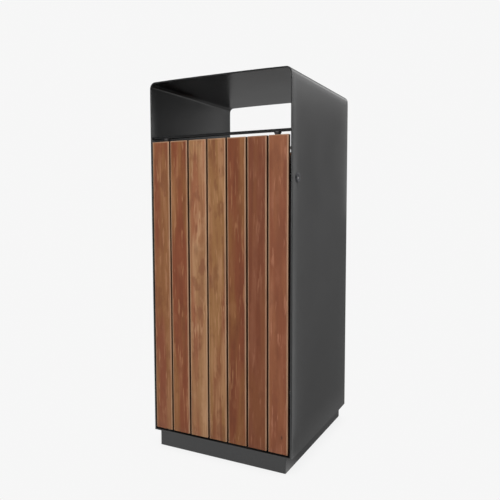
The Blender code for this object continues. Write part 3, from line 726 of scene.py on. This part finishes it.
BOARD_SCREW = (0.0048, 0.0027, 0.0017)      # head radius, rise, socket
CLEAR_OF_EDGE = 0.006
for panel, body, inward in (("door", "door", 1), ("rear", "casing", -1)):
    bm = bmesh.new()
    rails = [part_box(f"{panel}_rail_{level}") for level in ("bottom", "middle", "top")]
    uprights = {1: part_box(f"{panel}_upright_left"), 7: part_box(f"{panel}_upright_right")}
    for index in range(1, 8):
        low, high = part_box(f"{panel}_slat_{index}")
        for rail_low, rail_high in rails:
            face_low, face_high = uprights.get(index, (rail_low, rail_high))
            face_y = face_high.y if inward > 0 else face_low.y
            head_x = (low.x + high.x) / 2
            if index in (1, 7):
                head_x += CLEAR_OF_EDGE * (1 if index == 1 else -1)
            seat = (head_x, face_y - 0.0001 * inward, (rail_low.z + rail_high.z) / 2)
            add_socket_head(bm, seat, (0, inward, 0), *BOARD_SCREW)
    bmesh.ops.recalc_face_normals(bm, faces=bm.faces)
    finished(f"{panel}_board_screws", bm, stainless_steel, body, sharp=40.0)


# Door stops: two small stainless lugs inside the right wall, near the top and the bottom of the
# door, that its frame rests against when it is shut. Their CAD solids keep their shape.
coat_node(stainless_steel, "stainless_steel", "door_stop_upper", "door_stop_lower")


# Rear panel bolts: one M6 stainless bolt through the rear bar and its spacer into the top of each
# rear upright, with the same kind of head as the board screws.
PANEL_BOLT = (0.0055, 0.0033, 0.0021)       # head radius, rise, socket
bm = bmesh.new()
bar_low, bar_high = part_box("rear_bar")
for spacer in ("rear_spacer_left", "rear_spacer_right"):
    low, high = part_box(spacer)
    centre = (low + high) / 2
    add_socket_head(bm, (centre.x, centre.y, bar_high.z), (0, 0, 1), *PANEL_BOLT)
bmesh.ops.recalc_face_normals(bm, faces=bm.faces)
finished("rear_panel_bolts", bm, stainless_steel, "casing", sharp=40.0)


# Bushes: turned black nylon, set in the gap under the bar above the door and in the plate below it.
# The pins that run in them are 8 mm stainless rod. The rear panel has coated steel tube spacers.
def turned(profile, centre, axis="Z", steps=64, closed=True):
    """Turn an outline of (radius, height) points about an axis through a centre."""
    bm = bmesh.new()
    points = [bm.verts.new((radius, 0.0, height)) for radius, height in profile]
    for first, second in zip(points, points[1:]):
        bm.edges.new((first, second))
    if closed:
        bm.edges.new((points[-1], points[0]))
    bmesh.ops.spin(bm, geom=bm.verts[:] + bm.edges[:], cent=(0.0, 0.0, 0.0), axis=(0.0, 0.0, 1.0),
                   angle=math.tau, steps=steps, use_merge=True)
    bmesh.ops.remove_doubles(bm, verts=bm.verts, dist=0.000005)
    bmesh.ops.recalc_face_normals(bm, faces=bm.faces)
    if axis == "X":
        bmesh.ops.rotate(bm, verts=bm.verts, matrix=Matrix.Rotation(math.radians(90), 3, "Y"))
    bmesh.ops.translate(bm, verts=bm.verts, vec=centre)
    return bm


black_nylon, tree, shader = new_material("black_nylon")
turning = effect(tree, brushed_metal, scratch_size=2200.0)
worn = effect(tree, edge_wear, reach=0.0005, break_up=600.0)["Mask"]
nylon = mixed(tree, turning["Stain"], (0.020, 0.020, 0.021, 1.0), (0.034, 0.034, 0.036, 1.0))
nylon = mixed(tree, maths(tree, "MULTIPLY", worn, 0.5), nylon, (0.10, 0.10, 0.10, 1.0))
tree.links.new(nylon, shader.inputs["Base Color"])
tree.links.new(mapped(tree, turning["Scratch"], 0.30, 0.70, 0.42, 0.55), shader.inputs["Roughness"])
ridges = node(tree, "Bump", {"Height": turning["Scratch"], "Strength": 0.12, "Distance": 0.0002})
tree.links.new(ridges.outputs[0], shader.inputs["Normal"])

PIN_RADIUS = 0.004
BORE = 0.0043
EASE = 0.0005
WIDE = 0.010
NARROW = 0.0075
SPIGOT = 0.0062
for name in ("hinge_bush_top", "hinge_bush_spare"):
    low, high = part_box(name)
    tall = high.z - low.z
    outline = [(BORE, 0.0), (NARROW, 0.0), (NARROW + 0.0002, tall * 0.30), (WIDE - EASE, tall * 0.62),
               (WIDE, tall * 0.72), (WIDE, tall - EASE), (WIDE - EASE, tall), (BORE + EASE, tall),
               (BORE, tall - EASE)]
    middle = (low + high) / 2
    finished(f"{name}_turned", turned(outline, (middle.x, middle.y, low.z)), black_nylon, "casing",
             [name])
low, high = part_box("hinge_bush_bottom")
middle = (low + high) / 2
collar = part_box("base_plate")[1].z + 0.0003 - low.z
tall = high.z - low.z
outline = [(BORE, 0.0), (SPIGOT, 0.0), (SPIGOT, collar), (WIDE - EASE, collar), (WIDE, collar + EASE),
           (WIDE, tall - EASE), (WIDE - EASE, tall), (BORE, tall)]
finished("hinge_bush_bottom_turned", turned(outline, (middle.x, middle.y, low.z)), black_nylon, "casing",
         ["hinge_bush_bottom"])

for name in ("hinge_pin_top", "hinge_pin_bottom"):
    low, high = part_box(name)
    middle = (low + high) / 2
    tall = high.z - low.z
    outline = [(0.0, 0.0), (PIN_RADIUS - EASE, 0.0), (PIN_RADIUS, EASE), (PIN_RADIUS, tall - EASE),
               (PIN_RADIUS - EASE, tall), (0.0, tall)]
    rod = turned(outline, (middle.x, middle.y, low.z), closed=False)
    finished(f"{name}_rod", rod, stainless_steel, "door", [name])

for name in ("rear_spacer_left", "rear_spacer_right"):
    low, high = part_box(name)
    middle = (low + high) / 2
    wall = (high.x - low.x) / 2
    tall = high.z - low.z
    outline = [(BORE, 0.0), (wall - EASE / 2, 0.0), (wall, EASE / 2), (wall, tall - EASE / 2),
               (wall - EASE / 2, tall), (BORE, tall)]
    finished(f"{name}_tube", turned(outline, (middle.x, middle.y, low.z)), coated_steel, "casing", [name])


# Lock: a smoke-chromed quarter-turn barrel with a domed flange outside the right wall, a nut inside, and a
# core coloured near black as painted shade for the recess inside the barrel, with a bright raised triangle
# for the key. The cam is on its end.
lock_chrome, tree, shader = new_material("lock_chrome")
brush = effect(tree, brushed_metal, scratch_size=1800.0)
worn = effect(tree, edge_wear, reach=0.0006, break_up=420.0)["Mask"]
stained = mapped(tree, brush["Stain"], 0.40, 0.75)
plate = mixed(tree, stained, (0.11, 0.11, 0.12, 1.0), (0.06, 0.06, 0.07, 1.0))
plate = mixed(tree, maths(tree, "MULTIPLY", worn, 0.5), plate, (0.60, 0.59, 0.57, 1.0))
tree.links.new(plate, shader.inputs["Base Color"])
tree.links.new(mapped(tree, brush["Stain"], 0.30, 0.70, 0.05, 0.14), shader.inputs["Roughness"])
shader.inputs["Metallic"].default_value = 1.0
scoring = node(tree, "Bump", {"Height": brush["Scratch"], "Strength": 0.06, "Distance": 0.0001})
tree.links.new(scoring.outputs[0], shader.inputs["Normal"])

# Painted shade: the core is coloured near black to stand in for the shade of the recess around the key's
# triangle.
core_painted_shade, tree, shader = new_material("lock_core_painted_shade")
brush = effect(tree, brushed_metal, scratch_size=1200.0)
stained = mapped(tree, brush["Stain"], 0.35, 0.70)
black = mixed(tree, stained, (0.012, 0.012, 0.013, 1.0), (0.030, 0.029, 0.028, 1.0))
tree.links.new(black, shader.inputs["Base Color"])
tree.links.new(mapped(tree, brush["Scratch"], 0.30, 0.70, 0.34, 0.48), shader.inputs["Roughness"])

drive_bright, tree, shader = new_material("lock_drive_bright")
brush = effect(tree, brushed_metal, scratch_size=1600.0)
stained = mapped(tree, brush["Stain"], 0.35, 0.70)
bright = mixed(tree, stained, (0.95, 0.95, 0.94, 1.0), (0.86, 0.86, 0.85, 1.0))
tree.links.new(bright, shader.inputs["Base Color"])
tree.links.new(mapped(tree, brush["Scratch"], 0.30, 0.70, 0.22, 0.34), shader.inputs["Roughness"])
shader.inputs["Metallic"].default_value = 1.0

low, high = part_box("lock_body")
axis_y, axis_z = lock_centre.y, lock_centre.z
FLANGE = (high.y - low.y) / 2
BARREL = 0.0097
CORE_BORE = 0.0066
outer = high.x - low.x
seat = half_width + 0.0003 - low.x
outline = [(CORE_BORE, 0.0), (BARREL - EASE, 0.0), (BARREL, EASE)]
for turn in range(1, 10):
    outline += [(BARREL - 0.0004, EASE + (turn - 0.5) * 0.0016), (BARREL, EASE + turn * 0.0016)]
outline += [(BARREL, seat), (FLANGE - 0.0003, seat), (FLANGE, seat + 0.0004)]
rim_height = seat + 0.0008
dome = [(FLANGE - 0.0002, rim_height)]
for step in range(1, 7):
    angle = math.radians(15 * step)
    dome.append((FLANGE - 0.0042 + 0.0040 * math.cos(angle),
                 rim_height + (outer - seat - 0.0008) * math.sin(angle)))
outline += dome + [(CORE_BORE + EASE, outer), (CORE_BORE, outer - EASE)]
finished("lock_barrel", turned(outline, (low.x, axis_y, axis_z), "X"), lock_chrome, "casing", ["lock_body"],
         sharp=50.0)

low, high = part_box("lock_core")
STEM = 0.004
CORE = 0.0063
DRIVE = 0.0046
DRIVE_RISE = 0.0019
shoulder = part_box("lock_cam")[1].x + 0.0003 - low.x
face = high.x - low.x - DRIVE_RISE
outline = [(0.0, 0.0), (STEM - EASE, 0.0), (STEM, EASE), (STEM, shoulder), (CORE, shoulder),
           (CORE, face - EASE), (CORE - EASE, face), (0.0, face)]
bm = turned(outline, (low.x, axis_y, axis_z), "X", closed=False)
drive = bmesh.new()
drive_depth = DRIVE_RISE + 0.001
bmesh.ops.create_cone(drive, cap_ends=True, segments=3, radius1=DRIVE, radius2=DRIVE * 0.80,
                      depth=drive_depth)
eased(drive, drive.edges[:], 0.0009, 3)
bmesh.ops.rotate(drive, verts=drive.verts, matrix=Matrix.Rotation(math.radians(90), 3, "Y"))
bmesh.ops.translate(drive, verts=drive.verts, vec=(high.x - drive_depth / 2, axis_y, axis_z))
triangle = bpy.data.meshes.new("triangle")
drive.to_mesh(triangle)
drive.free()
first_drive_face = len(bm.faces)
bm.from_mesh(triangle)
bm.faces.ensure_lookup_table()
for drive_face in bm.faces[first_drive_face:]:
    drive_face.material_index = 1
core = finished("lock_core_turned", bm, core_painted_shade, "lock", ["lock_core"])
core.data.materials.append(drive_bright)
coat_node(stainless_steel, "stainless_steel", "lock_nut", "lock_cam", "cam_screw")


# Liner: a lift-out bucket of 1.5 mm galvanised sheet with rounded corners, a lapped seam, drain
# holes and two swaged rings, hung by a flat rim on the runners. Hot-dip zinc shows its spangle.
galvanised_zinc, given, result = shader_group("galvanised_zinc", ["Spangle", "Stain", "Run"],
                                              [("Crystal", 110.0)])
tree = galvanised_zinc
place = node(tree, "TexCoord").outputs["Object"]
crystals = node(tree, "TexVoronoi", {"Vector": place, "Scale": given.outputs["Crystal"]}, feature="F1")
crystal_tone = node(tree, "SeparateXYZ", {0: crystals.outputs["Color"]}).outputs["X"]
tree.links.new(crystal_tone, result.inputs["Spangle"])
tree.links.new(noise(tree, place, 9.0, 5.0, 0.6), result.inputs["Stain"])
tree.links.new(noise(tree, stretched(tree, place, (40.0, 40.0, 2.5)), 1.0, 3.0), result.inputs["Run"])

galvanised_steel, tree, shader = new_material("galvanised_steel")
zinc = effect(tree, galvanised_zinc, crystal=110.0)
worn = effect(tree, edge_wear, reach=0.0010, break_up=240.0)["Mask"]
dusty = effect(tree, settled_dust, patch_size=22.0)["Mask"]
tone = mixed(tree, zinc["Spangle"], (0.34, 0.35, 0.36, 1.0), (0.50, 0.51, 0.52, 1.0))
tone = mixed(tree, mapped(tree, zinc["Stain"], 0.52, 0.75, 0.0, 0.55), tone, (0.26, 0.26, 0.26, 1.0))
tone = mixed(tree, mapped(tree, zinc["Run"], 0.60, 0.80, 0.0, 0.35), tone, (0.22, 0.20, 0.18, 1.0))
tone = mixed(tree, maths(tree, "MULTIPLY", worn, 0.6), tone, (0.66, 0.66, 0.66, 1.0))
tone = mixed(tree, maths(tree, "MULTIPLY", dusty, 0.35), tone, (0.24, 0.21, 0.17, 1.0))
tree.links.new(tone, shader.inputs["Base Color"])
dull = mapped(tree, zinc["Spangle"], 0.0, 1.0, 0.34, 0.50)
tree.links.new(maths(tree, "ADD", dull, maths(tree, "MULTIPLY", dusty, 0.2)), shader.inputs["Roughness"])
tree.links.new(mapped(tree, dusty, 0.0, 1.0, 0.92, 0.35), shader.inputs["Metallic"])
frost = node(tree, "Bump", {"Height": zinc["Spangle"], "Strength": 0.12, "Distance": 0.0002})
tree.links.new(frost.outputs[0], shader.inputs["Normal"])

low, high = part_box("liner_bucket")
CORNER = 0.020
FOOT_FOLD = 0.006
LINER_SHEET = 0.0015


def rounded_ring(bm, half_x, half_y, z, corner):
    """A flat face with four rounded corners, centred on the bucket."""
    made = bmesh.ops.create_grid(bm, x_segments=1, y_segments=1, size=1.0)["verts"]
    bmesh.ops.scale(bm, verts=made, vec=(half_x, half_y, 1.0))
    bmesh.ops.translate(bm, verts=made, vec=(0.0, 0.0, z))
    bmesh.ops.bevel(bm, geom=made, offset=corner, offset_type="OFFSET", segments=10, profile=0.5,
                    affect="VERTICES", material=-1)


bm = bmesh.new()
rounded_ring(bm, high.x, high.y, low.z, CORNER)
floor_face = max(bm.faces, key=lambda face: face.calc_area())
row = list(floor_face.edges)
levels = [low.z + 0.03, 0.32, 0.327, 0.333, 0.340, 0.50, 0.66, 0.737, 0.743, 0.750, 0.757,
          high.z - 0.02, high.z]
SWAGED_LEVELS = (0.327, 0.333, 0.743, 0.750)
SWAGE_DEPTH = 0.0010
below = low.z
for level in levels:
    row = run_on(bm, row, (0.0, 0.0, level - below))
    if level in SWAGED_LEVELS:
        for vertex in {v for e in row for v in e.verts}:
            middle = Vector((max(-high.x + CORNER, min(high.x - CORNER, vertex.co.x)),
                             max(-high.y + CORNER, min(high.y - CORNER, vertex.co.y)), vertex.co.z))
            vertex.co -= (vertex.co - middle).normalized() * SWAGE_DEPTH
    below = level
fold_edges = [e for e in bm.edges if all(abs(v.co.z - low.z) < 1e-6 for v in e.verts)]
eased(bm, fold_edges, FOOT_FOLD, 4)
bmesh.ops.recalc_face_normals(bm, faces=bm.faces)
lowest = min(bm.faces, key=lambda face: face.calc_center_median().z)
if lowest.normal.z > 0:
    bmesh.ops.reverse_faces(bm, faces=bm.faces)
bmesh.ops.solidify(bm, geom=bm.faces, thickness=LINER_SHEET)
DRAIN_HOLE = 0.005
for hole_x in (-0.10, 0.10):
    for hole_y in (-0.09, 0.09):
        bm = bored(bm, (hole_x, hole_y, low.z), DRAIN_HOLE, segments=28)
finished("liner_tub", bm, galvanised_steel, "liner", ["liner_bucket"], sharp=40.0)

bm = bmesh.new()
bmesh.ops.create_cube(bm, size=1.0)
bmesh.ops.scale(bm, verts=bm.verts, vec=(0.014, 0.0012, high.z - low.z - 0.05))
eased(bm, bm.edges[:], 0.0004, 2)
bmesh.ops.translate(bm, verts=bm.verts, vec=(0.110, high.y + 0.0003, (low.z + high.z) / 2))
finished("liner_seam", bm, galvanised_steel, "liner")
coat_node(galvanised_steel, "galvanised_steel", "liner_rim")


# Liner handles: a drop handle of 6 mm galvanised rod at each end, turning in a folded bracket
# that two low blind rivets hold inside the mouth.
HANDLE_ROD = 0.003
HANDLE_HALF = 0.050
HANDLE_BEND = 0.010
PLATE = 0.002
RIVET = (0.0036, 0.0014, 0.0004)            # head radius, rise, mandrel hole


def bent_rod(name, corners, radius, bend):
    """A round rod through a few corner points, with a smooth bend at each corner between its ends."""
    points = [Vector(corners[0])]
    for before, corner, after in zip(corners, corners[1:], corners[2:]):
        before, corner, after = Vector(before), Vector(corner), Vector(after)
        start = corner + (before - corner).normalized() * bend
        end = corner + (after - corner).normalized() * bend
        for step in range(9):
            share = step / 8
            points.append(start * (1 - share) ** 2 + corner * 2 * share * (1 - share) + end * share ** 2)
    points.append(Vector(corners[-1]))
    path = bpy.data.curves.new(name, "CURVE")
    path.dimensions = "3D"
    path.bevel_depth = radius
    path.bevel_resolution = 5
    path.use_fill_caps = True
    line = path.splines.new("POLY")
    line.points.add(len(points) - 1)
    for target, point in zip(line.points, points):
        target.co = (*point, 1.0)
    rod = bpy.data.objects.new(name, path)
    bpy.context.scene.collection.objects.link(rod)
    shaped = rod.evaluated_get(bpy.context.evaluated_depsgraph_get())
    bm = bmesh.new()
    bm.from_mesh(shaped.to_mesh())
    shaped.to_mesh_clear()
    bpy.data.objects.remove(rod)
    bmesh.ops.remove_doubles(bm, verts=bm.verts, dist=0.00002)
    bmesh.ops.recalc_face_normals(bm, faces=bm.faces)
    return bm


for end, side in (("front", -1), ("rear", 1)):
    low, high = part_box(f"liner_handle_{end}")
    pivot_z = high.z - HANDLE_ROD
    pivot_y = (low.y + high.y) / 2
    corners = [(-high.x, pivot_y, pivot_z), (-HANDLE_HALF, pivot_y, pivot_z),
               (-HANDLE_HALF, pivot_y, low.z + HANDLE_ROD), (HANDLE_HALF, pivot_y, low.z + HANDLE_ROD),
               (HANDLE_HALF, pivot_y, pivot_z), (high.x, pivot_y, pivot_z)]
    bm = bent_rod(f"handle_{end}", corners, HANDLE_ROD, HANDLE_BEND)
    finished(f"drop_handle_{end}", bm, galvanised_steel, f"handle_{end}", [f"liner_handle_{end}"])
    bracket_low, bracket_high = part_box(f"handle_bracket_{end}")
    bm = bmesh.new()
    inner_y = bracket_low.y + PLATE if side < 0 else bracket_high.y - PLATE
    rivet_z = (bracket_low.z + bracket_high.z) / 2 + 0.004
    for rivet_x in (-0.030, 0.030):
        add_socket_head(bm, (rivet_x, inner_y, rivet_z), (0, -side, 0), *RIVET)
    bmesh.ops.recalc_face_normals(bm, faces=bm.faces)
    finished(f"bracket_rivets_{end}", bm, stainless_steel, "liner")
coat_node(galvanised_steel, "galvanised_steel", "handle_bracket_front", "handle_bracket_rear")


# The finished bin's box.
low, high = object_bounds()
